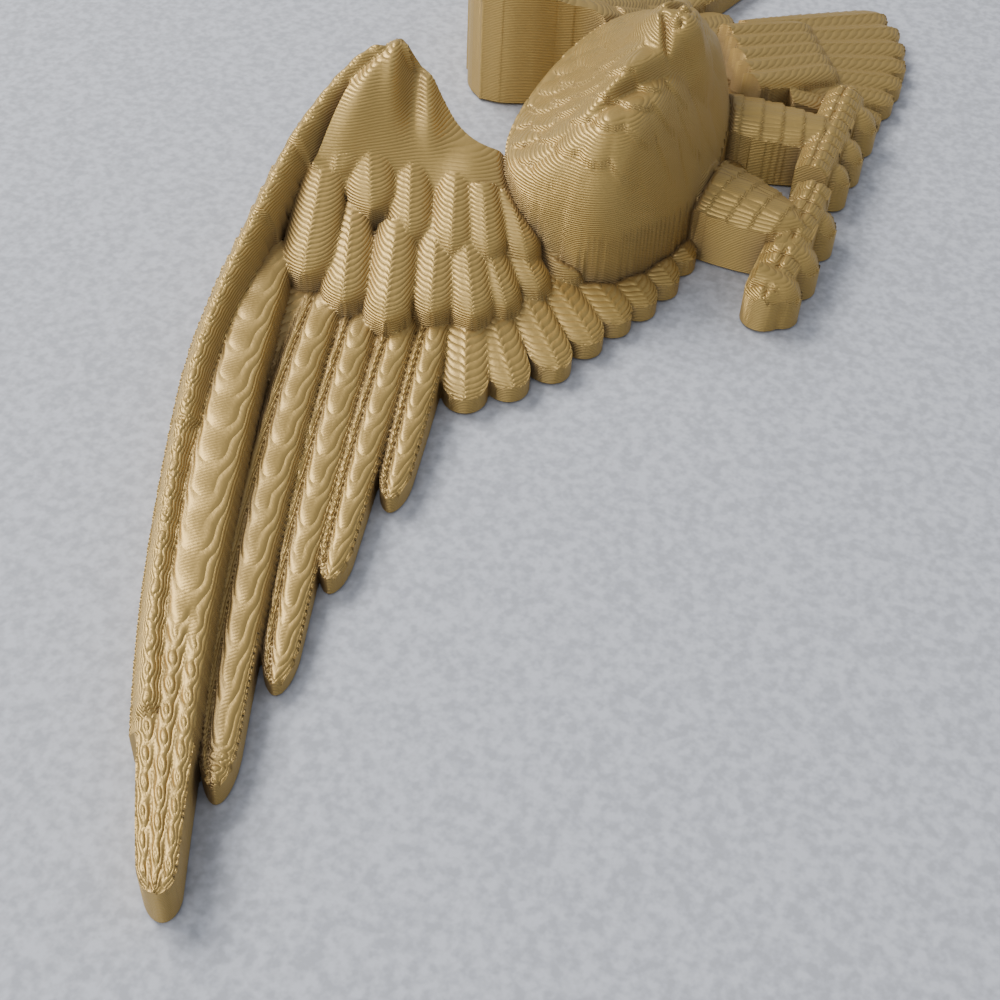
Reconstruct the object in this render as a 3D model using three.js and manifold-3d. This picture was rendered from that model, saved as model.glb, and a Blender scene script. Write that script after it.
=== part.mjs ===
import * as THREE from "three";
import { mergeVertices } from "three/addons/utils/BufferGeometryUtils.js";
import Module from "manifold-3d";

// Eagle wall plaque, in millimetres. X runs along the wings, +Z is up towards the head,
// the flat back lies in the plane y = 0 and the relief rises towards -Y.

const wasm = await Module();
wasm.setup();

// Driving sizes
const halfSpan = 125.4;
const tipHeight = 5.5;
const secondaryTipHeight = 2.8;
const wristHeight = 23.7;
const bodyCentre = [0.5, 2.5];
const bodyHalfWidth = 26.5;
const bodyUp = 13.5;
const bodyDown = 12.6;
const bodyRimHeight = 8;
const crownHeight = 28.6;
const beakWidth = 3.2;
const footHeight = 8.2;
const tailTipHeight = 2.6;

// A closed solid over a grid of top points [x, z, height], standing on the flat back.
function gridSolid(rows) {
  const n = rows.length;
  const m = rows[0].length;
  const positions = [];
  for (const height of [1, 0]) {
    for (const row of rows) {
      for (const [x, z, h] of row) {
        positions.push(x, -h * height, z);
      }
    }
  }
  const at = (layer, i, j) => layer * n * m + i * m + j;
  const faces = [];
  const quad = (a, b, c, d) => faces.push(a, b, c, a, c, d);
  for (let i = 0; i < n - 1; i++) {
    for (let j = 0; j < m - 1; j++) {
      quad(at(0, i, j), at(0, i + 1, j), at(0, i + 1, j + 1), at(0, i, j + 1));
      quad(at(1, i, j), at(1, i, j + 1), at(1, i + 1, j + 1), at(1, i + 1, j));
    }
  }
  for (let i = 0; i < n - 1; i++) {
    quad(at(0, i, 0), at(1, i, 0), at(1, i + 1, 0), at(0, i + 1, 0));
    quad(at(0, i + 1, m - 1), at(1, i + 1, m - 1), at(1, i, m - 1), at(0, i, m - 1));
  }
  for (let j = 0; j < m - 1; j++) {
    quad(at(0, 0, j + 1), at(1, 0, j + 1), at(1, 0, j), at(0, 0, j));
    quad(at(0, n - 1, j), at(1, n - 1, j), at(1, n - 1, j + 1), at(0, n - 1, j + 1));
  }
  return closed(positions, faces);
}

// Any closed mesh as a solid, turned the right way round.
function closed(positions, faces) {
  const make = (order) => {
    const geometry = new THREE.BufferGeometry();
    geometry.setAttribute("position", new THREE.Float32BufferAttribute(positions, 3));
    geometry.setIndex(order);
    const merged = mergeVertices(geometry, 1e-4);
    return new wasm.Manifold(
      new wasm.Mesh({
        numProp: 3,
        vertProperties: merged.attributes.position.array,
        triVerts: new Uint32Array(merged.index.array),
      }),
    );
  };
  const solid = make(faces);
  if (solid.volume() > 0) {
    return solid;
  }
  const turned = [];
  for (let i = 0; i < faces.length; i += 3) {
    turned.push(faces[i], faces[i + 2], faces[i + 1]);
  }
  return make(turned);
}

const mix = (a, b, t) => a + (b - a) * t;

// One feather: a long leaf with a rounded tip, its top arched across.
function feather(f) {
  const [bx, bz] = f.base;
  const [tx, tz] = f.tip;
  const length = Math.hypot(tx - bx, tz - bz);
  const ax = (tx - bx) / length;
  const az = (tz - bz) / length;
  const round = Math.min((f.point ?? 1.3) * f.width, 0.6 * length);
  const along = (f.short ? [0] : [0, 0.35, 0.7]).map((t) => t * (length - round));
  for (const s of f.short ? [0, 0.55, 0.94] : [0, 0.4, 0.75, 0.96]) {
    along.push(length - round + round * s);
  }
  const across = f.short ? [-1, -0.45, 0.45, 1] : [-1, -0.55, 0, 0.55, 1];
  const arch = f.arch ?? 0.45;
  const rows = along.map((a) => {
    const t = a / length;
    const s = Math.max(0, (a - length + round) / round);
    const taper = mix(f.rootWidth ?? 0.85, 1, Math.min(1, t * 2.5)) * mix(1, f.endWidth ?? 1, t ** 3);
    const half = f.width * taper * Math.sqrt(1 - s * s);
    const bow = (f.bow ?? 0) * 4 * t * (1 - t);
    const cx = bx + ax * a - az * bow;
    const cz = bz + az * a + ax * bow;
    const h = mix(f.rise[0], f.rise[1], t) - arch * 0.6 * s * s;
    return across.map((v) => [
      cx - az * half * v,
      cz + ax * half * v,
      h - arch * v * v,
    ]);
  });
  return gridSolid(rows);
}

// Both wings carry the same feathers, mirrored.
const mirrored = (side, [x, z]) => [side * x, z];

function wingFeather(side, f) {
  return feather({
    ...f,
    base: mirrored(side, f.base),
    tip: mirrored(side, f.tip),
    bow: (f.bow ?? 0) * side,
  });
}

// Flight feathers of the hand, from the wing tip inwards.
const primaries = [
  { base: [44, 34.2], tip: [halfSpan, 0.1], width: 4, rise: [10.6, tipHeight], bow: 2.8, endWidth: 0.42 },
  { base: [46, 25.6], tip: [112.6, 2.2], width: 3, rise: [7.4, 3.3], bow: 1.8, endWidth: 0.6 },
  { base: [44, 21], tip: [98.8, 3.5], width: 2.7, rise: [6.6, 2.2], bow: 0.9, endWidth: 0.65 },
  { base: [42, 16.4], tip: [84.4, 5], width: 2.4, rise: [6, 2.7], bow: 0.3, endWidth: 0.7 },
  { base: [39, 13], tip: [70.7, 4.6], width: 2.2, rise: [5.7, 2.7], endWidth: 0.75 },
].map((f, i) => ({ ...f, point: i === 0 ? 0.7 : 2 }));

// Flight feathers of the forearm, swinging round from outwards to downwards.
const secondaryTips = [
  [51.8, 3.8],
  [47.2, -0.7],
  [41.5, -4.4],
  [35.1, -6.5],
  [29.5, -8.4],
  [24.8, -10.2],
  [19.2, -11.5],
  [12.9, -12],
];
const secondaries = secondaryTips.map(([x, z], i) => {
  const turn = THREE.MathUtils.degToRad([24, 39, 47, 54, 57, 58, 62, 70][i]);
  const length = 15 - 0.4 * i;
  return {
    base: [x - length * Math.cos(turn), z + length * Math.sin(turn)],
    tip: [x, z],
    width: 2.9,
    rise: [6, secondaryTipHeight],
    point: 1.2,
  };
});

// The covering rows over them: tip, heading below the wing line, length, half width, heights.
const coverts = [
  [[48.5, 21.9], 22, 15, 3, 12.4, 8.6],
  [[48.6, 16.2], 20, 15, 3, 11.8, 7.6],
  [[44.3, 12], 22, 14, 3, 11.4, 7.3],
  [[42.2, 7.2], 30, 13, 3, 11, 6.9],
  [[38.3, 4.4], 42, 12, 2.9, 10.6, 6.6],
  [[33, 2], 52, 11, 2.9, 10.2, 6.3],
  [[27.2, -1], 56, 10, 2.8, 9.6, 6],
  [[22, -3.6], 60, 8, 2.7, 9, 5.7],
  [[17, -5.6], 64, 7, 2.6, 8.4, 5.6],
  [[36.4, 18.9], 24, 13, 3, 15.6, 11],
  [[35.6, 13.4], 22, 12, 2.9, 14.4, 10.4],
  [[33.8, 9.2], 28, 10, 2.7, 13.8, 9.8],
  [[30.4, 5], 42, 9, 2.6, 13, 8.8],
  [[26, 1.2], 52, 8, 2.5, 11, 7.6],
  [[35.4, 24.6], 28, 14, 3.3, 18.6, 13],
  [[33.6, 30.8], 14, 14, 3.2, 20.4, 15.4],
  [[47.6, 27.8], 18, 18, 3.3, 16.4, 10],
].map(([tip, heading, length, width, high, low]) => {
  const turn = THREE.MathUtils.degToRad(heading);
  return {
    base: [tip[0] - length * Math.cos(turn), tip[1] + length * Math.sin(turn)],
    tip,
    width,
    rise: [high, low],
    arch: 0.6,
    point: 1.15,
    short: true,
  };
});

// The rolled leading edge: [x, z, height] along its outer side.
const leading = [
  [13.9, 31.6, 23.2],
  [16.4, 34.4, 23.4],
  [20, 36.1, 22.4],
  [26, 37.7, 20],
  [34, 38.2, 17.4],
  [45, 37.2, 14.2],
  [55, 35.8, 11.8],
  [66, 33, 10.2],
  [77, 28.8, 8.9],
  [92, 22.1, 7.7],
  [102.5, 16.9, 6.7],
  [111.5, 11.9, 6],
];
const rollBreaks = [
  [0, 4],
  [4, 5],
  [5, 8],
  [8, 11],
];

function roll(side, [from, to]) {
  const rows = [];
  for (let i = from; i <= to; i++) {
    const [x, z, h] = leading[i];
    const before = leading[Math.max(0, i - 1)];
    const after = leading[Math.min(leading.length - 1, i + 1)];
    const run = Math.hypot(after[0] - before[0], after[1] - before[1]);
    const nx = (after[1] - before[1]) / run;
    const nz = -(after[0] - before[0]) / run;
    const swell = i === from && from > 0 ? 0.2 : 0.9;
    const profile = [
      [0, -1.6],
      [0.7, -0.2 + 0.4 * swell],
      [1.9, 0.3 + 0.5 * swell],
      [3.1, -0.3 + 0.5 * swell],
      [4, -1.8],
    ];
    rows.push(profile.map(([inward, lift]) => [side * (x + nx * inward), z + nz * inward, h + lift]));
  }
  return gridSolid(rows);
}

// The smooth shoulder between the body and the wrist, ruled from its inner wall outwards.
const shoulder = [
  [15.4, 33.6, 22.4, 34, 36.6, 16],
  [14, 31.2, wristHeight, 34, 33, 15],
  [14.2, 27.8, 21.6, 33, 28.5, 13.6],
  [16, 24, 18.6, 32, 24, 12.4],
  [18.4, 20, 16.4, 30, 19.5, 12],
  [19.6, 15.6, 15.6, 29, 14.4, 11.4],
  [17, 10, 14, 28, 9, 10.4],
  [12, 3, 12, 25, 2.5, 9],
  [6, -4, 9, 18, -3, 6.6],
];

function shoulderPatch(side) {
  const rows = shoulder.map(([x0, z0, h0, x1, z1, h1]) =>
    [0, 0.12, 0.3, 0.5, 0.75, 1].map((u) => {
      const crown = 2.4 * Math.sin(Math.PI * Math.min(1, u * 1.1)) * (h0 / wristHeight) ** 2;
      return [side * mix(x0, x1, u), mix(z0, z1, u), mix(h0, h1, u) + crown];
    }),
  );
  return gridSolid(rows);
}

// The sheet under the feathers of the hand: x, trailing z and height, leading z and height.
const sheet = [
  [33, 3, 4, 36.4, 13],
  [45, 8, 3.4, 35.4, 9.4],
  [55, 7.6, 3, 33.8, 7.8],
  [66, 8, 2.6, 31, 6.8],
  [80, 8, 2.4, 26, 6],
  [95, 7.4, 2.2, 19.6, 5.2],
  [108, 5.4, 2.4, 12.6, 4.6],
];

function wingSheet(side) {
  const rows = sheet.map(([x, z0, h0, z1, h1]) =>
    [0, 0.5, 1].map((u) => [side * x, mix(z0, z1, u), mix(h0, h1, u)]),
  );
  return gridSolid(rows);
}

// Body height over the plan: a crest falling to nape and breast, rounded off sideways.
const crest = [
  [16.1, 15],
  [14, 15.6],
  [10, 18],
  [7, 20.8],
  [4, 24],
  [1, 26],
  [-3, 24.4],
  [-6, 18.8],
  [-8.2, 13],
  [-10.1, 8.4],
];

function crestHeight(z) {
  for (let i = 1; i < crest.length; i++) {
    const [z0, h0] = crest[i - 1];
    const [z1, h1] = crest[i];
    if (z >= z1) {
      return mix(h0, h1, (z - z0) / (z1 - z0));
    }
  }
  return crest[crest.length - 1][1];
}

// The rim of the body rises from the breast to the shoulders.
function rimHeight(z) {
  return mix(bodyRimHeight, 14.6, THREE.MathUtils.smoothstep(z, -2, 13));
}

// The plan of the body is an oval, fuller towards the shoulders, its breast hanging a little to one side.
const breastShift = 3.5;

function bodyHeight(x, z) {
  const up = z > bodyCentre[1];
  const p = up ? 2.7 : 2;
  const lengthwise = Math.min(1, Math.abs(z - bodyCentre[1]) / (up ? bodyUp : bodyDown));
  const across = Math.max(0.01, (1 - lengthwise ** p) ** (1 / p));
  const middle = bodyCentre[0] - (up ? 0 : breastShift * lengthwise);
  const r = Math.min(1, Math.abs(x - middle) / (bodyHalfWidth * across));
  const rim = rimHeight(z);
  return rim + (crestHeight(z) - rim) * Math.sqrt(Math.max(0, 1 - r ** 2.2));
}

// A round solid of rings about a centre; top(x, z, ring) gives the height.
function ringSolid(centre, reach, rings, segments, top) {
  const positions = [];
  const faces = [];
  const [cx, cz] = centre;
  positions.push(cx, -top(cx, cz, 0), cz);
  for (const ring of rings) {
    for (let s = 0; s < segments; s++) {
      const angle = (2 * Math.PI * s) / segments;
      const [rx, rz] = reach(angle);
      const x = cx + rx * ring;
      const z = cz + rz * ring;
      positions.push(x, -top(x, z, ring), z);
    }
  }
  const foot = positions.length / 3;
  for (let s = 0; s < segments; s++) {
    const angle = (2 * Math.PI * s) / segments;
    const [rx, rz] = reach(angle);
    positions.push(cx + rx, 0, cz + rz);
  }
  const centreFoot = positions.length / 3;
  positions.push(cx, 0, cz);
  for (let s = 0; s < segments; s++) {
    const next = (s + 1) % segments;
    faces.push(0, 1 + s, 1 + next);
    for (let k = 1; k < rings.length; k++) {
      const inner = 1 + (k - 1) * segments;
      const outer = 1 + k * segments;
      faces.push(inner + s, outer + s, outer + next, inner + s, outer + next, inner + next);
    }
    const rim = 1 + (rings.length - 1) * segments;
    faces.push(rim + s, foot + s, foot + next, rim + s, foot + next, rim + next);
    faces.push(centreFoot, foot + next, foot + s);
  }
  return closed(positions, faces);
}

const ellipse = (a, b) => (angle) => [a * Math.cos(angle), b * Math.sin(angle)];

function bodyPlan(angle) {
  const c = Math.cos(angle);
  const s = Math.sin(angle);
  if (s > 0) {
    return [bodyHalfWidth * Math.sign(c) * Math.abs(c) ** (2 / 2.7), bodyUp * s ** (2 / 2.7)];
  }
  return [bodyHalfWidth * c + breastShift * s, bodyDown * s];
}

const body = ringSolid(
  bodyCentre,
  bodyPlan,
  [0.3, 0.55, 0.75, 0.9, 0.97, 1],
  28,
  (x, z, ring) => (ring === 1 ? rimHeight(z) : bodyHeight(x, z)),
);

const head = ringSolid([1.4, -0.2], ellipse(7.4, 6.6), [0.35, 0.65, 0.88, 1], 20, (x, z, ring) =>
  mix(19, crownHeight, Math.sqrt(Math.max(0, 1 - ring ** 2.2))),
);

const beak = feather({
  base: [2.2, 0.8],
  tip: [1, -7.4],
  width: beakWidth / 2,
  rise: [30.2, 21.4],
  arch: 1.2,
  point: 1.8,
  endWidth: 0.6,
});

// Tail: long feathers from the rump, swung to one side, under a row of short ones.
const tailTips = [
  [64.6, -19.2],
  [61, -22.2],
  [56.4, -24.3],
  [51.2, -25.7],
  [45.8, -26.4],
  [40.4, -26.5],
  [35.2, -26],
];
const tail = tailTips.map((tip, i) => ({
  base: [42.5 - 2.6 * i, -1.5 - 1.9 * i],
  tip,
  width: 2.9,
  rise: [7, i === 6 ? 2 : tailTipHeight],
  arch: 0.5,
  point: 1.1,
  short: true,
}));
const tailCoverts = [0, 1, 2, 3, 4].map((i) => ({
  base: [36 - 3 * i, 0 - 1.9 * i],
  tip: [48.6 - 2.6 * i, -10.4 - 1.7 * i],
  width: 2.8,
  rise: [9, 6],
  point: 1.1,
  short: true,
}));

// Legs and feet: each foot is a bar along X with toes hanging from it.
const legs = [
  { base: [-2, -4], tip: [-5.6, -24.5], width: 6.4, rise: [10, 8], arch: 1.6, endWidth: 0.45, point: 0.5 },
  { base: [14.5, -3], tip: [19.5, -23], width: 5.6, rise: [10, 7.6], arch: 1.8, endWidth: 0.7, point: 0.5 },
];
const footBars = [
  { base: [4.6, -23.2], tip: [-20.6, -23.4], width: 2.8, rise: [footHeight, 6], arch: 1.4, point: 1 },
  { base: [7.6, -21.8], tip: [33, -20.6], width: 2.8, rise: [footHeight, 7.4], arch: 1.4, point: 1 },
];
const toes = [
  [-16.8, -27.9, 2.5],
  [-9.8, -28.4, 2.9],
  [-0.6, -28.2, 2.6],
  [11.6, -26.8, 2.3],
  [18.2, -27, 2.6],
  [27, -26.8, 3],
].map(([x, z, width]) => ({
  base: [x + 0.6, z + 6.4],
  tip: [x, z],
  width,
  rise: [footHeight - 0.8, 5.4],
  arch: 1.2,
  point: 1,
  short: true,
}));

const pieces = [body, head, beak];
for (const side of [-1, 1]) {
  pieces.push(shoulderPatch(side), wingSheet(side));
  for (const span of rollBreaks) {
    pieces.push(roll(side, span));
  }
  for (const f of [...primaries, ...secondaries, ...coverts]) {
    pieces.push(wingFeather(side, f));
  }
}
for (const f of [...tail, ...tailCoverts, ...legs, ...footBars, ...toes]) {
  pieces.push(feather(f));
}

let whole = pieces[0];
for (const piece of pieces.slice(1)) {
  whole = whole.add(piece);
}

function asGeometry(solid) {
  const mesh = solid.getMesh();
  const geometry = new THREE.BufferGeometry();
  const stride = mesh.numProp;
  const xyz = new Float32Array(mesh.numVert * 3);
  for (let i = 0; i < mesh.numVert; i++) {
    for (let k = 0; k < 3; k++) {
      xyz[3 * i + k] = mesh.vertProperties[stride * i + k];
    }
  }
  geometry.setAttribute("position", new THREE.BufferAttribute(xyz, 3));
  geometry.setIndex(new THREE.BufferAttribute(new Uint32Array(mesh.triVerts), 1));
  const flat = geometry.toNonIndexed();
  flat.computeVertexNormals();
  return flat;
}

const gold = new THREE.MeshStandardMaterial({ color: 0xb8923f, roughness: 0.42, metalness: 0.75 });
const eagle = new THREE.Mesh(asGeometry(whole), gold);
eagle.name = "eagle";

const plaque = new THREE.Group();
plaque.name = "eagle_wall_plaque";
plaque.add(eagle);

export default plaque;
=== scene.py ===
import math

import bmesh
import bpy
import numpy as np
from mathutils import Matrix, Vector


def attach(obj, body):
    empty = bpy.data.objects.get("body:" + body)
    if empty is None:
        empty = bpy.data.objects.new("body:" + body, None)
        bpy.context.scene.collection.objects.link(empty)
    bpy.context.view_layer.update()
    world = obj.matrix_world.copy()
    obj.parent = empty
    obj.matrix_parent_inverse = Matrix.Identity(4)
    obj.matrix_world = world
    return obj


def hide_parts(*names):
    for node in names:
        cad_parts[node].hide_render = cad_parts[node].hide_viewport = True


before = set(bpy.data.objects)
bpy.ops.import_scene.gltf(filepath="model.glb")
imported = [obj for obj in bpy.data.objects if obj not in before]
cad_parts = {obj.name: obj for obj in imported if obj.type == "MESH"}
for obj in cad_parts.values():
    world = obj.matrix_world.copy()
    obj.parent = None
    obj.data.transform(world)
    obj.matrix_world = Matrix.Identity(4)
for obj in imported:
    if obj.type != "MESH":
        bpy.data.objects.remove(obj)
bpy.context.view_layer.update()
print("frame loaded")

# Everything about the relief is in millimetres: x along the wings, z up, height off the flat back.
eagle = {
    "cell": 0.3,                    # mesh step
    "reach": 125.35,                # wing tip
    "wristHeight": 23.7,
    "bodyMiddle": (0.5, 2.5),
    "bodyHalfWidth": 26.5,
    "bodyUp": 13.5,
    "bodyDown": 12.6,
    "breastShift": 3.5,
    "headMiddle": (4.6, -0.2),
    "headSize": (7.4, 6.2),
    "crown": 27.4,
    "scale": 4.0,                   # neck feather length
    "scaleLift": 0.85,
    "footHeight": 8.0,
}


def mix(a, b, t):
    return a + (b - a) * t


def ease(lo, hi, q):
    t = np.clip((q - lo) / (hi - lo), 0, 1)
    return t * t * (3 - 2 * t)


# A smooth line through a few points, as close samples.
def smoothLine(points, steps=20):
    p = np.array(points, float)
    ends = np.vstack([2 * p[0] - p[1], p, 2 * p[-1] - p[-2]])
    out = []
    for i in range(1, len(ends) - 2):
        a, b, c, d = ends[i - 1:i + 3]
        for t in np.arange(steps) / steps:
            out.append(0.5 * (2 * b + (c - a) * t + (2 * a - 5 * b + 4 * c - d) * t ** 2
                              + (3 * b - 3 * c + d - a) * t ** 3))
    out.append(p[-1])
    return np.array(out)


# Height and plan of the relief, sampled on a square grid.
class Relief:
    def __init__(self, x, z):
        self.x, self.z = np.meshgrid(x, z, indexing="ij")
        self.h = np.zeros_like(self.x)
        self.cover = np.full_like(self.x, -5.0)    # mm inside the outline

    def window(self, x0, x1, z0, z1):
        xs, zs = self.x[:, 0], self.z[0]
        return (slice(np.searchsorted(xs, x0), np.searchsorted(xs, x1) + 1),
                slice(np.searchsorted(zs, z0), np.searchsorted(zs, z1) + 1))

    def lay(self, w, h, inside):
        self.cover[w] = np.maximum(self.cover[w], inside)
        self.h[w] = np.where(inside > -0.01, np.maximum(self.h[w], h), self.h[w])


# One feather on the relief: a long leaf with a rounded tip. The profile gives the shape across it.
def feather(relief, base, tip, width, rise, bow=0, point=1.3, root=0.85, end=1, arch=0.45, profile=None):
    bx, bz = base
    tx, tz = tip
    length = math.hypot(tx - bx, tz - bz)
    ax, az = (tx - bx) / length, (tz - bz) / length
    pad = width + abs(bow) + 1
    w = relief.window(min(bx, tx) - pad, max(bx, tx) + pad, min(bz, tz) - pad, max(bz, tz) + pad)
    dx, dz = relief.x[w] - bx, relief.z[w] - bz
    a = dx * ax + dz * az
    t = np.clip(a / length, 0, 1)
    v = dz * ax - dx * az - bow * 4 * t * (1 - t)
    tipRound = min(point * width, 0.6 * length)
    s = np.clip((a - length + tipRound) / tipRound, 0, 3)
    half = width * mix(root, 1, np.minimum(1, t * 2.5)) * mix(1, end, t ** 3)
    across = v / half
    inside = np.where(s > 0, (1 - np.hypot(across, s)) * half, half - np.abs(v))
    inside = np.minimum(inside, a)
    q = np.clip(across / np.sqrt(np.clip(1 - s ** 2, 0.05, 1)), -1, 1)
    h = mix(rise[0], rise[1], t) - arch * 0.6 * np.minimum(s, 1) ** 2 - arch * q * q
    if profile:
        h = h + profile(q, s, a, t)
    relief.lay(w, h, inside)


# Across a long flight feather: a raised shaft band on its leading side, a groove beside it, a full vane.
def vane(q, s, a, t):
    band = 0.34 * np.exp(-((q - 0.68) / 0.17) ** 4)
    groove = -0.3 * np.exp(-((q - 0.46) / 0.09) ** 2)
    swell = 0.18 * np.cos(np.clip((q + 0.25) / 0.75, -1, 1) * math.pi / 2)
    edge = -0.45 * ease(0.82, 1, -q)
    return band + groove + swell + edge + 0.05 * np.sin(a * 1.1 + 2 * q)


# The outermost feather ends in three ribs of small beads.
def beaded(q, s, a, t):
    out = ease(0.62, 0.74, t)
    ribs = np.abs(np.cos(1.5 * math.pi * q)) ** 1.3
    beads = 0.75 + 0.25 * np.sin(a * 2.1 + 4 * q)
    return vane(q, s, a, t) * (1 - out) + out * (0.55 * ribs * beads - 0.25)


# The short end of the second feather has round steps.
def ringed(q, s, a, t):
    return vane(q, s, a, t) + 0.14 * np.sin(a * 4.6) * ease(0.1, 0.5, s)


# Covering feathers are flat plates with a shaft line and a rounded rim.
def plate(q, s, a, t):
    rim = -0.55 * np.abs(q) ** 4 - 0.5 * np.minimum(s, 1) ** 3
    shaft = 0.16 * np.exp(-(q / 0.1) ** 2) * ease(0, 0.4, t)
    return rim + 0.35 * (1 - q * q) + shaft


def scalloped(q, s, a, t):
    return -0.3 * np.abs(q) ** 6 + 0.12 * np.exp(-(q / 0.12) ** 2) - 0.25 * np.minimum(s, 1) ** 4


wing = {
    "primaries": [
        ((44, 34.2), (125.3, 0.1), 4.0, (10.6, 5.5), 2.8, 0.42),
        ((46, 25.6), (112.5, 2.2), 3.0, (7.4, 3.3), 1.8, 0.6),
        ((44, 21), (98.7, 3.5), 2.7, (6.6, 2.2), 0.9, 0.65),
        ((42, 16.4), (84.3, 5), 2.4, (6, 2.7), 0.3, 0.7),
        ((39, 13), (70.6, 4.6), 2.2, (5.7, 2.7), 0, 0.75),
    ],
    "secondaries": [          # tip and heading below the wing line
        ((51.8, 3.8), 24), ((47.2, -0.7), 39), ((41.5, -4.4), 47), ((35.1, -6.5), 54),
        ((29.5, -8.4), 57), ((24.8, -10.2), 58), ((19.2, -11.5), 62), ((12.9, -12), 70),
    ],
    "coverts": [              # tip, heading, length, half width, heights
        ((48.5, 21.9), 22, 15, 3, 12.4, 8.6), ((48.6, 16.2), 20, 15, 3, 11.8, 7.6),
        ((44.3, 12), 22, 14, 3, 11.4, 7.3), ((42.2, 7.2), 30, 13, 3, 11, 6.9),
        ((38.3, 4.4), 42, 12, 2.9, 10.6, 6.6), ((33, 2), 52, 11, 2.9, 10.2, 6.3),
        ((27.2, -1), 56, 10, 2.8, 9.6, 6), ((22, -3.6), 60, 8, 2.7, 9, 5.7),
        ((17, -5.6), 64, 7, 2.6, 8.4, 5.6), ((36.4, 18.9), 24, 13, 3, 15.6, 11),
        ((35.6, 13.4), 22, 12, 2.9, 14.4, 10.4), ((33.8, 9.2), 28, 10, 2.7, 13.8, 9.8),
        ((30.4, 5), 42, 9, 2.6, 13, 8.8), ((26, 1.2), 52, 8, 2.5, 11, 7.6),
        ((35.4, 24.6), 28, 14, 3.3, 18.6, 13), ((33.6, 30.8), 14, 14, 3.2, 20.4, 15.4),
        ((47.6, 27.8), 18, 18, 3.3, 16.4, 10),
    ],
    "leading": [              # outer edge of the rolled front: x, z, height
        (13.9, 31.6, 23.2), (16.4, 34.4, 23.4), (20, 36.1, 22.4), (26, 37.7, 20), (34, 38.2, 17.4),
        (45, 37.2, 14.2), (55, 35.8, 11.8), (66, 33, 10.2), (77, 28.8, 8.9), (92, 22.1, 7.7),
        (102.5, 16.9, 6.7), (111.5, 11.9, 6),
    ],
    "rollEnds": (4, 5, 8, 11),     # points of the front where one sleeve of the roll ends
    "shoulder": [             # inner wall x, z, height; outer x, height
        (6, -4, 9, 18, 6.6), (12, 3, 12, 25, 9), (17, 10, 14, 28, 10.4), (19.6, 15.6, 15.6, 29, 11.4),
        (18.4, 20, 16.4, 30, 12), (16, 24, 18.6, 32, 12.4), (14.2, 27.8, 21.6, 33, 13.6),
        (14, 31.2, 23.7, 34, 15), (15.4, 33.6, 22.4, 34, 16),
    ],
    "sheet": [                # under the hand feathers: x, trailing z and height, leading z and height
        (33, 3, 4, 36.4, 13), (45, 8, 3.4, 35.4, 9.4), (55, 7.6, 3, 33.8, 7.8), (66, 8, 2.6, 31, 6.8),
        (80, 8, 2.4, 26, 6), (95, 7.4, 2.2, 19.6, 5.2), (108, 5.4, 2.4, 12.6, 4.6),
    ],
}


def shoulder(relief):
    line = smoothLine(wing["shoulder"])
    z = relief.z
    x0, h0, x1, h1 = (np.interp(z, line[:, 1], line[:, k]) for k in (0, 2, 3, 4))
    u = np.clip((relief.x - x0) / (x1 - x0), 0, 1)
    crown = 2.4 * np.sin(math.pi * np.minimum(1, u * 1.1)) * (h0 / eagle["wristHeight"]) ** 2
    h = mix(h0, h1, u) + crown
    # two soft ridges run down from the wrist with a hollow between them
    for x, zz, dx, dz, lift in ((15.5, 30.4, 8, -2.6, 0.9), (16, 25.6, 7, -3.4, 0.8), (15.6, 28, 8, -3, -0.9)):
        run = math.hypot(dx, dz)
        a = ((relief.x - x) * dx + (z - zz) * dz) / run
        b = ((z - zz) * dx - (relief.x - x) * dz) / run
        h = h + lift * np.exp(-(b / 1.3) ** 2) * ease(-3, 0, a) * (1 - ease(4, 11, a))
    inside = np.minimum(np.minimum(relief.x - x0, x1 - relief.x), np.minimum(z + 4, 33.6 - z))
    every = (slice(None), slice(None))
    relief.lay(every, h, inside)


def sheet(relief):
    line = np.array(wing["sheet"], float)
    z0, h0, z1, h1 = (np.interp(relief.x, line[:, 0], line[:, k]) for k in (1, 2, 3, 4))
    u = np.clip((relief.z - z0) / (z1 - z0), 0, 1)
    inside = np.minimum(np.minimum(relief.z - z0, z1 - relief.z), np.minimum(relief.x - 33, 108 - relief.x))
    relief.lay((slice(None), slice(None)), mix(h0, h1, u), inside)


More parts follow.
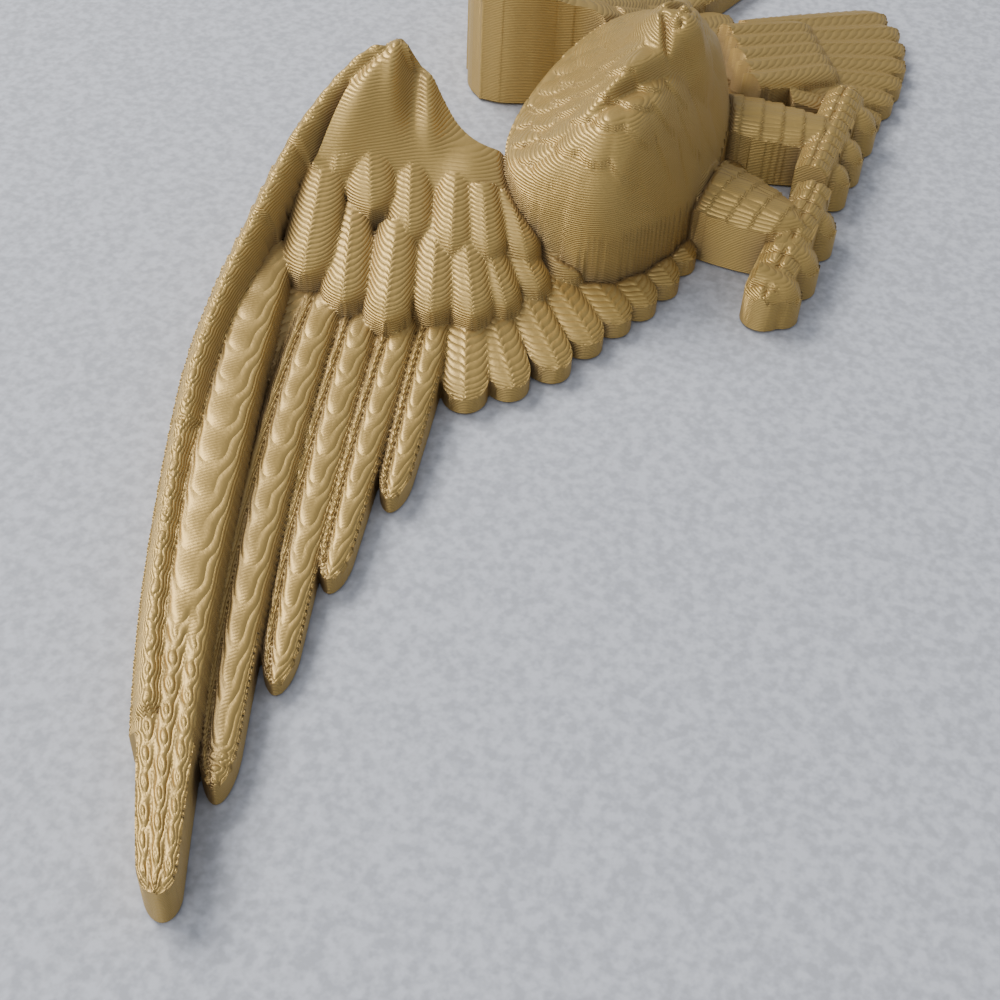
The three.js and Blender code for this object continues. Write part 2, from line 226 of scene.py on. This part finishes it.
def roll(relief):
    steps = 24
    line = smoothLine(wing["leading"], steps)
    along = np.gradient(line[:, :2], axis=0)
    normal = np.stack([along[:, 1], -along[:, 0]], -1) / np.linalg.norm(along, axis=1)[:, None]
    run = np.concatenate([[0], np.cumsum(np.linalg.norm(np.diff(line[:, :2], axis=0), axis=1))])
    ends = [run[k * steps] for k in wing["rollEnds"]]
    near = (relief.z > np.interp(relief.x, line[:, 0], line[:, 1]) - 9) & (relief.x > 12) & (relief.x < 114)
    near &= relief.z < 39
    px, pz = relief.x[near], relief.z[near]
    best = np.full(px.shape, 1e9)
    pick = np.zeros(px.shape, int)
    for k, (x, z) in enumerate(line[:, :2]):
        d = (px - x) ** 2 + (pz - z) ** 2
        closer = d < best
        best[closer], pick[closer] = d[closer], k
    inward = (px - line[pick, 0]) * normal[pick, 0] + (pz - line[pick, 1]) * normal[pick, 1]
    s = run[pick]
    lift = np.zeros_like(s)
    width = np.full_like(s, 4.0)
    start = 0.0
    for end in ends:                       # each sleeve swells towards its far end and drops there
        part = (s >= start) & (s < end)
        t = (s[part] - start) / (end - start)
        lift[part] = 0.25 + 0.5 * t ** 1.5 - 0.9 * ease(0.955, 1, t)
        width[part] = 3.7 + 0.5 * t
        start = end
    q = np.clip(inward / width, 0, 1)
    bead = 1 - np.where(q < 0.45, (0.45 - q) / 0.45, (q - 0.45) / 0.55) ** 2
    h = line[pick, 2] - 1.8 + (2.3 + lift) * bead
    h = h + 0.12 * np.sin(s * 1.9 + 3 * q) * bead
    overrun = np.sqrt(best) > np.abs(inward) + 0.3
    inside = np.where(overrun, -1, np.minimum(inward, width - inward))
    grid = np.full(relief.x.shape, -5.0)
    top = np.zeros(relief.x.shape)
    grid[near], top[near] = inside, h
    relief.lay((slice(None), slice(None)), top, grid)


def headed(tip, heading, length):
    turn = math.radians(heading)
    return (tip[0] - length * math.cos(turn), tip[1] + length * math.sin(turn))


def layWing(relief):
    shoulder(relief)
    sheet(relief)
    profiles = (beaded, ringed, vane, vane, vane)
    for i, (base, tip, width, rise, bow, end) in enumerate(wing["primaries"]):
        feather(relief, base, tip, width, rise, bow, 0.7 if i == 0 else 2, end=end, profile=profiles[i])
    for i, (tip, heading) in enumerate(wing["secondaries"]):
        feather(relief, headed(tip, heading, 15 - 0.4 * i), tip, 2.9, (6, 2.8), point=1.2, arch=0.4, profile=scalloped)
    for tip, heading, length, width, high, low in wing["coverts"]:
        feather(relief, headed(tip, heading, length), tip, width, (high, low), point=1.15, arch=0.5, profile=plate)
    roll(relief)


body = {
    "crest": [(-10.1, 8.4), (-8.2, 13), (-6, 18.8), (-3, 24), (1, 25.4), (4, 23.8), (7, 20.8), (10, 18), (14, 15.6), (16.1, 15)],
    "throat": (4.2, -5.6, 0.42, 2.0),   # where the neck overhangs the breast: middle x, z, slope, depth
}


def rimHeight(z):
    return mix(8, 14.6, ease(-2, 13, z))


def layBody(relief):
    cx, cz = eagle["bodyMiddle"]
    w = relief.window(-30, 30, -12, 17)
    x, z = relief.x[w], relief.z[w]
    up = z > cz
    p = np.where(up, 2.7, 2)
    lengthwise = np.abs(z - cz) / np.where(up, eagle["bodyUp"], eagle["bodyDown"])
    middle = cx - np.where(up, 0, eagle["breastShift"] * lengthwise)
    sideways = np.abs(x - middle) / eagle["bodyHalfWidth"]
    plan = (sideways ** p + lengthwise ** p) ** (1 / p)
    across = np.maximum(0.01, np.clip(1 - np.clip(lengthwise, 0, 1) ** p, 0, 1) ** (1 / p))
    r = np.clip(sideways / across, 0, 1)
    line = smoothLine(body["crest"])
    crest = np.interp(z, line[:, 0], line[:, 1])
    rim = rimHeight(z)
    h = rim + (crest - rim) * np.sqrt(np.clip(1 - r ** 2.2, 0, 1))
    h = h + headLift(x, z, h)
    h = h + scales(x, z) * ease(1, 0.86, plan)
    h = h + throat(x, z)
    h = face(x, z, h)
    # a thin crease where the body meets the wings
    crease = -0.7 * np.exp(-((plan - 1) / 0.03) ** 2)
    relief.h[w] += crease * (plan > 1)
    relief.cover[w] = np.maximum(relief.cover[w], (1 - plan) * 12)
    relief.h[w] = np.where(plan < 1, np.maximum(relief.h[w] - 20 * (plan < 0.9), h), relief.h[w])


def headLift(x, z, h):
    mx, mz = eagle["headMiddle"]
    sx, sz = eagle["headSize"]
    g = np.sqrt(((x - mx) / sx) ** 2 + ((z - mz) / sz) ** 2)
    top = 18 + (eagle["crown"] - 18) * np.sqrt(np.clip(1 - g ** 2.2, 0, 1))
    k = 0.9                                     # soft join
    joined = np.log(np.exp((h - 22) / k) + np.exp((top - 22) / k) * (g < 1.02)) * k + 22
    return np.where(g < 1.02, joined - h, 0)


# Rounded neck feathers in rings round the head, each lifting towards its tip.
def scales(x, z):
    mx, mz = eagle["headMiddle"]
    size = eagle["scale"]
    lift = np.zeros_like(x)
    stretch = 1.35                              # rings are wider along x, as the body is
    for ring in range(7):
        radius = 6.5 + ring * 3.1
        count = max(8, int(2 * math.pi * radius / 4.3))
        for k in range(count):
            angle = 2 * math.pi * (k + 0.5 * (ring % 2)) / count
            px, pz = mx - 2.6 + radius * stretch * math.cos(angle), mz + 1 + radius * 0.8 * math.sin(angle)
            if abs(px) > 29 or not -13 < pz < 19:
                continue
            dx, dz = math.cos(angle), math.sin(angle) * 0.8 - 0.12
            run = math.hypot(dx, dz)
            dx, dz = dx / run, dz / run
            a = (x - px) * dx + (z - pz) * dz
            b = (z - pz) * dx - (x - px) * dz
            g = np.hypot(np.maximum(a, 0) / 2.3, b / 2.25) + np.where(a < -size, 9, 0)
            rise = np.clip((a + size) / (size + 2.3), 0, 1)
            lift = np.where(g < 1, np.maximum(lift, rise * (1 - 0.35 * (b / 2.25) ** 2)), lift)
    return eagle["scaleLift"] * (lift - 0.5)


def throat(x, z):
    mx, mz, slope, depth = body["throat"]
    line = mz + slope * np.abs(x - mx)
    fade = 1 - ease(13, 23, np.abs(x - mx))
    below = line - z
    return -depth * fade * np.where(below > 0, np.exp(-(below / 4.2) ** 1.4), np.exp(-(below / 0.9) ** 2))


# Brow, eyes, beak and mouth.
def face(x, z, h):
    mx, mz = eagle["headMiddle"]
    for side in (-1, 1):
        u = (x - mx) * side
        # brow groove from the eye down the cheek
        t = np.clip((u - 1.2) / 6.4, 0, 1)
        line = mz + 1.0 - 3.1 * t
        groove = np.exp(-((z - line) / 0.5) ** 2) * ease(0.2, 1.6, u) * (1 - ease(5.6, 7.6, u))
        h = h - 0.75 * groove
        h = h + 0.4 * np.exp(-((z - line - 1.2) / 0.7) ** 2) * ease(0.2, 1.6, u) * (1 - ease(5, 7, u))
        d = np.hypot((u - 1.9) / 0.95, (z - (mz - 0.75)) / 0.8)
        h = h - 0.5 * np.exp(-(d / 1.5) ** 4) + 0.75 * np.sqrt(np.clip(1 - d ** 2, 0, 1))
    # beak: a narrow hooked ridge falling from the forehead to the breast
    t = np.clip((mz - 0.6 - z) / 4.6, 0, 1.2)
    ridge = mix(27.2, 20.6, t ** 1.25)
    wide = mix(1.75, 0.95, t)
    q = np.abs(x - mx) / wide
    beak = ridge - 1.5 * q ** 2.4 - 0.35 * np.exp(-((q - 0.78) / 0.12) ** 2)
    on = (q < 1.15) & (z < mz - 0.6) & (z > mz - 5.5)
    return np.where(on, np.maximum(h, beak), h)


tail = {
    "tips": [(64.5, -19.1), (60.9, -22.1), (56.3, -24.2), (51.1, -25.6), (45.7, -26.3), (40.3, -26.4), (35.1, -25.9)],
    "width": 2.9,
}


def layTail(relief):
    for i, tip in enumerate(tail["tips"]):
        feather(relief, (42.5 - 2.6 * i, -1.5 - 1.9 * i), tip, tail["width"], (7, 2 if i == 6 else 2.6),
                arch=0.5, point=1.1, profile=lambda q, s, a, t: 0.2 * np.exp(-(q / 0.12) ** 2) - 0.3 * np.abs(q) ** 5)
    for i in range(5):
        feather(relief, (36 - 3 * i, -1.9 * i), (48.6 - 2.6 * i, -10.4 - 1.7 * i), 2.8, (9, 6), point=1.1, profile=plate)


legs = {
    "thighs": [((-2, -4), (-5.6, -24.5), 6.4, (10, 8), 1.6, 0.45), ((14.5, -3), (19.5, -23), 5.6, (10, 7.6), 1.8, 0.7)],
    "bars": [((4.6, -23.2), (-20.6, -23.4), (8.0, 6)), ((7.6, -21.8), (33, -20.6), (8.0, 7.4))],
    "toes": [(-16.8, -27.9, 2.5), (-9.8, -28.3, 2.9), (-0.6, -28.1, 2.6), (11.6, -26.8, 2.3), (18.2, -27, 2.6), (27, -26.8, 3)],
}


# Horny plates across the foot, split by a line along it.
def plates(q, s, a, t):
    cuts = np.abs(np.sin(a * 1.35))
    return -0.4 * np.exp(-(cuts / 0.22) ** 2) * (np.abs(q) < 0.8) - 0.45 * np.exp(-((q - 0.12) / 0.12) ** 2)


# Short feathers on the leg, as flecks.
def flecks(q, s, a, t):
    row = np.floor(a / 3)
    shift = (row % 2) * 0.35
    cell = (q + 1 + shift) / 0.7 % 1 - 0.5
    drop = a / 3 % 1
    return 0.4 * (drop * (1 - 2.2 * cell ** 2)) - 0.2


def layLegs(relief):
    for base, tip, width, rise, arch, end in legs["thighs"]:
        feather(relief, base, tip, width, rise, arch=arch, end=end, point=0.5, profile=flecks)
    for base, tip, rise in legs["bars"]:
        feather(relief, base, tip, 2.8, rise, arch=1.4, point=1, profile=plates)
    for x, z, width in legs["toes"]:
        feather(relief, (x + 0.6, z + 6.4), (x, z), width, (7.2, 5.4), arch=1.2, point=1,
                profile=lambda q, s, a, t: -0.8 * np.minimum(s, 1) ** 3)


# The whole relief: one wing laid once and mirrored, then body, tail, legs.
cell = eagle["cell"]
count = int(127 / cell)
xs = np.arange(-count, count + 1) * cell
zs = np.arange(int(-30 / cell), int(40 / cell) + 1) * cell
half = Relief(xs[count:], zs)
layWing(half)
print("wing laid")
relief = Relief(xs, zs)
relief.h = np.concatenate([half.h[:0:-1], half.h])
relief.cover = np.concatenate([half.cover[:0:-1], half.cover])
layTail(relief)
layLegs(relief)
layBody(relief)
print("relief laid")


# The solid under the relief: a square mesh cut along the outline, upright side walls and a flat back.
def solidFrom(relief, name):
    c = relief.cover
    c = np.where(np.abs(c) < 1e-3, 1e-3, c)
    on = c > 0
    nx, nz = c.shape
    verts, index = [], {}
    top = np.maximum(relief.h, 1.2)

    def node(i, j):
        key = (i, j)
        if key not in index:
            index[key] = len(verts)
            verts.append((relief.x[i, j], -top[i, j], relief.z[i, j]))
        return index[key]

    def crossing(i, j, k, l):
        if not on[i, j]:
            i, j, k, l = k, l, i, j
        key = (i, j, k, l)
        if key not in index:
            t = np.clip(c[i, j] / (c[i, j] - c[k, l]), 0.08, 0.92)
            index[key] = len(verts)
            verts.append((mix(relief.x[i, j], relief.x[k, l], t), -top[i, j], mix(relief.z[i, j], relief.z[k, l], t)))
        return index[key]

    faces = []
    full = on[:-1, :-1] & on[1:, :-1] & on[1:, 1:] & on[:-1, 1:]
    some = (on[:-1, :-1] | on[1:, :-1] | on[1:, 1:] | on[:-1, 1:]) & ~full
    for i, j in zip(*np.nonzero(full)):
        faces.append((node(i, j), node(i + 1, j), node(i + 1, j + 1), node(i, j + 1)))
    for i, j in zip(*np.nonzero(some)):
        ring = ((i, j), (i + 1, j), (i + 1, j + 1), (i, j + 1))
        states = [on[r] for r in ring]
        if states in ([True, False, True, False], [False, True, False, True]):
            for k in range(4):                 # two separate corners
                if states[k]:
                    faces.append((crossing(*ring[k - 1], *ring[k]), node(*ring[k]), crossing(*ring[k], *ring[(k + 1) % 4])))
            continue
        loop = []
        for k in range(4):
            here, after = ring[k], ring[(k + 1) % 4]
            if on[here]:
                loop.append(node(*here))
            if on[here] != on[after]:
                loop.append(crossing(*here, *after))
        faces.append(tuple(loop))
    mesh = bpy.data.meshes.new(name)
    mesh.from_pydata([tuple(v * 0.001 for v in p) for p in verts], [], faces)
    bm = bmesh.new()
    bm.from_mesh(mesh)
    rim = [e for e in bm.edges if len(e.link_faces) == 1]
    walls = bmesh.ops.extrude_edge_only(bm, edges=rim)["geom"]
    for v in walls:
        if isinstance(v, bmesh.types.BMVert):
            v.co.y = 0
    low = [e for e in bm.edges if len(e.link_faces) == 1]
    bmesh.ops.triangle_fill(bm, use_beauty=False, use_dissolve=False, edges=low)
    bmesh.ops.recalc_face_normals(bm, faces=bm.faces)
    open_ = sum(1 for e in bm.edges if len(e.link_faces) != 2)
    print("open edges", open_, "volume", round(bm.calc_volume() * 1e6, 2), "cm3")
    bm.to_mesh(mesh)
    bm.free()
    return bpy.data.objects.new(name, mesh)


plaque = solidFrom(relief, "eaglePlaque")
bpy.context.collection.objects.link(plaque)
bpy.ops.object.select_all(action="DESELECT")
plaque.select_set(True)
bpy.context.view_layer.objects.active = plaque
bpy.ops.object.shade_smooth_by_angle(angle=math.radians(58))
print("plaque built:", len(plaque.data.polygons), "faces,", sum(len(p.vertices) - 2 for p in plaque.data.polygons), "triangles")


gold = {
    "lit": (0.50, 0.335, 0.105, 1),
    # the next colour is the same gold darkened as painted shade for hollows and creases
    "shadedGold": (0.30, 0.19, 0.055, 1),
    "dust": (0.42, 0.38, 0.36, 1),
    "layer": 0.00026,              # height of one printed layer
    "raster": 0.00042,             # width of one printed line
    "roughness": 0.42,
}


class Nodes:
    def __init__(self, material):
        material.use_nodes = True
        self.tree = material.node_tree
        self.tree.nodes.clear()

    def add(self, kind, inputs=(), **settings):
        made = self.tree.nodes.new(kind)
        for key, value in settings.items():
            setattr(made, key, value)
        for key, value in dict(inputs).items():
            if hasattr(value, "is_output"):
                self.tree.links.new(value, made.inputs[key])
            else:
                made.inputs[key].default_value = value
        return made

    def math(self, operation, a, b=0.0, c=0.0):
        return self.add("ShaderNodeMath", {0: a, 1: b, 2: c}, operation=operation).outputs[0]


def goldPrint():
    material = bpy.data.materials.new("goldPrint")
    n = Nodes(material)
    place = n.add("ShaderNodeTexCoord").outputs["Object"]
    parts = n.add("ShaderNodeSeparateXYZ", {0: place})
    x, y, z = parts.outputs
    wobble = n.add("ShaderNodeTexNoise", {"Vector": place, "Scale": 260.0, "Detail": 3.0}).outputs["Fac"]
    wander = n.math("MULTIPLY", n.math("SUBTRACT", wobble, 0.5), 0.00016)
    # one step for each printed layer: a round bead seen from the side
    level = n.math("DIVIDE", n.math("ADD", y, wander), gold["layer"])
    beads = n.math("ABSOLUTE", n.math("SINE", n.math("MULTIPLY", level, math.pi)))
    # parallel lines on flat stretches
    across = n.math("DIVIDE", n.math("ADD", n.math("ADD", x, z), wander), gold["raster"] * 1.414)
    lines = n.math("ABSOLUTE", n.math("SINE", n.math("MULTIPLY", across, math.pi)))
    facing = n.add("ShaderNodeSeparateXYZ", {0: n.add("ShaderNodeNewGeometry").outputs["Normal"]}).outputs["Y"]
    flat = n.add("ShaderNodeMapRange", {"Value": n.math("ABSOLUTE", facing), "From Min": 0.985, "From Max": 0.999}).outputs[0]
    slope = n.math("SUBTRACT", 1.0, flat)
    grit = n.add("ShaderNodeTexNoise", {"Vector": place, "Scale": 2600.0, "Detail": 2.0}).outputs["Fac"]
    height = n.math("ADD", n.math("MULTIPLY", beads, n.math("MULTIPLY", slope, 0.00011)),
                    n.math("ADD", n.math("MULTIPLY", lines, n.math("MULTIPLY", flat, 0.00004)),
                           n.math("MULTIPLY", grit, 0.00003)))
    bump = n.add("ShaderNodeBump", {"Height": height, "Strength": 0.85, "Distance": 1.0})
    # colour: painted shade, from ambient occlusion, makes the gold darker in the hollows and creases and brighter on
    # the crests; the same occlusion also lays a little dust in the hollows
    shadeAndDust = n.add("ShaderNodeAmbientOcclusion", {"Distance": 0.004}, samples=8, only_local=True).outputs["AO"]
    # the gold with painted shade: darker where the surface is closed in, lighter in the open
    tone = n.add("ShaderNodeMix", {0: n.add("ShaderNodeMapRange", {"Value": shadeAndDust, "From Min": 0.35, "From Max": 0.95}).outputs[0],
                                   6: gold["shadedGold"], 7: gold["lit"]}, data_type="RGBA").outputs[2]
    patches = n.add("ShaderNodeTexNoise", {"Vector": place, "Scale": 90.0, "Detail": 4.0}).outputs["Fac"]
    dusty = n.math("MULTIPLY", n.math("SUBTRACT", 1.0, shadeAndDust), n.math("MULTIPLY", patches, 0.5))
    colour = n.add("ShaderNodeMix", {0: dusty, 6: tone, 7: gold["dust"]}, data_type="RGBA").outputs[2]
    rough = n.math("ADD", gold["roughness"], n.math("MULTIPLY", dusty, 0.5))
    shader = n.add("ShaderNodeBsdfPrincipled", {"Base Color": colour, "Roughness": rough, "Metallic": 0.72,
                                               "Normal": bump.outputs[0]})
    out = n.add("ShaderNodeOutputMaterial")
    n.tree.links.new(shader.outputs[0], out.inputs[0])
    return material


plaque.data.materials.append(goldPrint())
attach(plaque, "root")
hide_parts("eagle")
print("finish made")


stage = {
    "tone": (0.47, 0.485, 0.53, 1),
    "gap": 0.0004,
}


def tableTop():
    bpy.ops.mesh.primitive_plane_add(size=3, location=(0, stage["gap"], 0), rotation=(math.radians(90), 0, 0))
    top = bpy.context.object
    top.name = "tableTop"
    bpy.ops.object.transform_apply(rotation=True)
    material = bpy.data.materials.new("paleTable")
    n = Nodes(material)
    place = n.add("ShaderNodeTexCoord").outputs["Object"]
    speckle = n.add("ShaderNodeTexNoise", {"Vector": place, "Scale": 900.0, "Detail": 2.0}).outputs["Fac"]
    ramp = n.add("ShaderNodeMapRange", {"Value": speckle, "From Min": 0.35, "From Max": 0.65, "To Min": 0.85, "To Max": 1.15}).outputs[0]
    tone = n.add("ShaderNodeVectorMath", {0: stage["tone"][:3], 1: n.add("ShaderNodeCombineXYZ", {0: ramp, 1: ramp, 2: ramp}).outputs[0]},
                 operation="MULTIPLY").outputs[0]
    shader = n.add("ShaderNodeBsdfPrincipled", {"Base Color": tone, "Roughness": 0.75})
    clear = n.add("ShaderNodeBsdfTransparent")
    # seen from behind, the table is clear
    side = n.add("ShaderNodeMixShader", {0: n.add("ShaderNodeNewGeometry").outputs["Backfacing"], 1: shader.outputs[0], 2: clear.outputs[0]})
    out = n.add("ShaderNodeOutputMaterial")
    n.tree.links.new(side.outputs[0], out.inputs[0])
    top.data.materials.append(material)
    return top


top = tableTop()

view = {
    "place": (-0.1796, -0.129, -0.0516),
    "pitch": 45.9,
    "roll": 3.3,
    "turn": -21.4,
    "focal": 1560,             # in pixels of a 1000 pixel picture
}


def camera():
    data = bpy.data.cameras.new("camera")
    data.sensor_width = 36
    data.lens = 36 * view["focal"] / 1000
    data.clip_start = 0.01
    c = bpy.data.objects.new("camera", data)
    bpy.context.collection.objects.link(c)
    th, r, a = (math.radians(view[k]) for k in ("pitch", "roll", "turn"))
    u = Vector((-math.sin(a), math.cos(a)))
    t = Vector((math.cos(a), math.sin(a)))

    def turned(v):             # from the table's frame to the plaque's: x = along u, y = -height, z = -along t
        return Vector((v[0] * u.x + v[1] * u.y, -v[2], -(v[0] * t.x + v[1] * t.y)))

    forward = turned((0, math.cos(th), -math.sin(th)))
    upright = (0, math.sin(th), math.cos(th))
    right = turned((math.cos(r), math.sin(r) * upright[1], math.sin(r) * upright[2]))
    upward = turned((-math.sin(r), math.cos(r) * upright[1], math.cos(r) * upright[2]))
    basis = Matrix((right, upward, -forward)).transposed().to_4x4()
    c.matrix_world = Matrix.Translation(view["place"]) @ basis
    bpy.context.scene.camera = c
    return c


camera()


def softLight(name, place, aim, size, power, tone=(1, 1, 1)):
    data = bpy.data.lights.new(name, "AREA")
    data.shape = "RECTANGLE"
    data.size, data.size_y = size
    data.energy = power
    data.color = tone
    lamp = bpy.data.objects.new(name, data)
    bpy.context.collection.objects.link(lamp)
    lamp.location = place
    lamp.rotation_euler = (Vector(aim) - Vector(place)).to_track_quat("-Z", "Y").to_euler()


softLight("windowLight", (0.1, -0.75, 0.7), (-0.02, 0, 0), (0.7, 0.5), 14, (1, 0.98, 0.95))
softLight("sideFill", (-0.7, -0.6, 0.1), (0, 0, 0), (0.8, 0.8), 4, (0.95, 0.97, 1))
world = bpy.data.worlds.new("room")
bpy.context.scene.world = world
world.use_nodes = True
world.node_tree.nodes["Background"].inputs[0].default_value = (0.8, 0.85, 0.95, 1)
world.node_tree.nodes["Background"].inputs[1].default_value = 0.45
print("stage set")
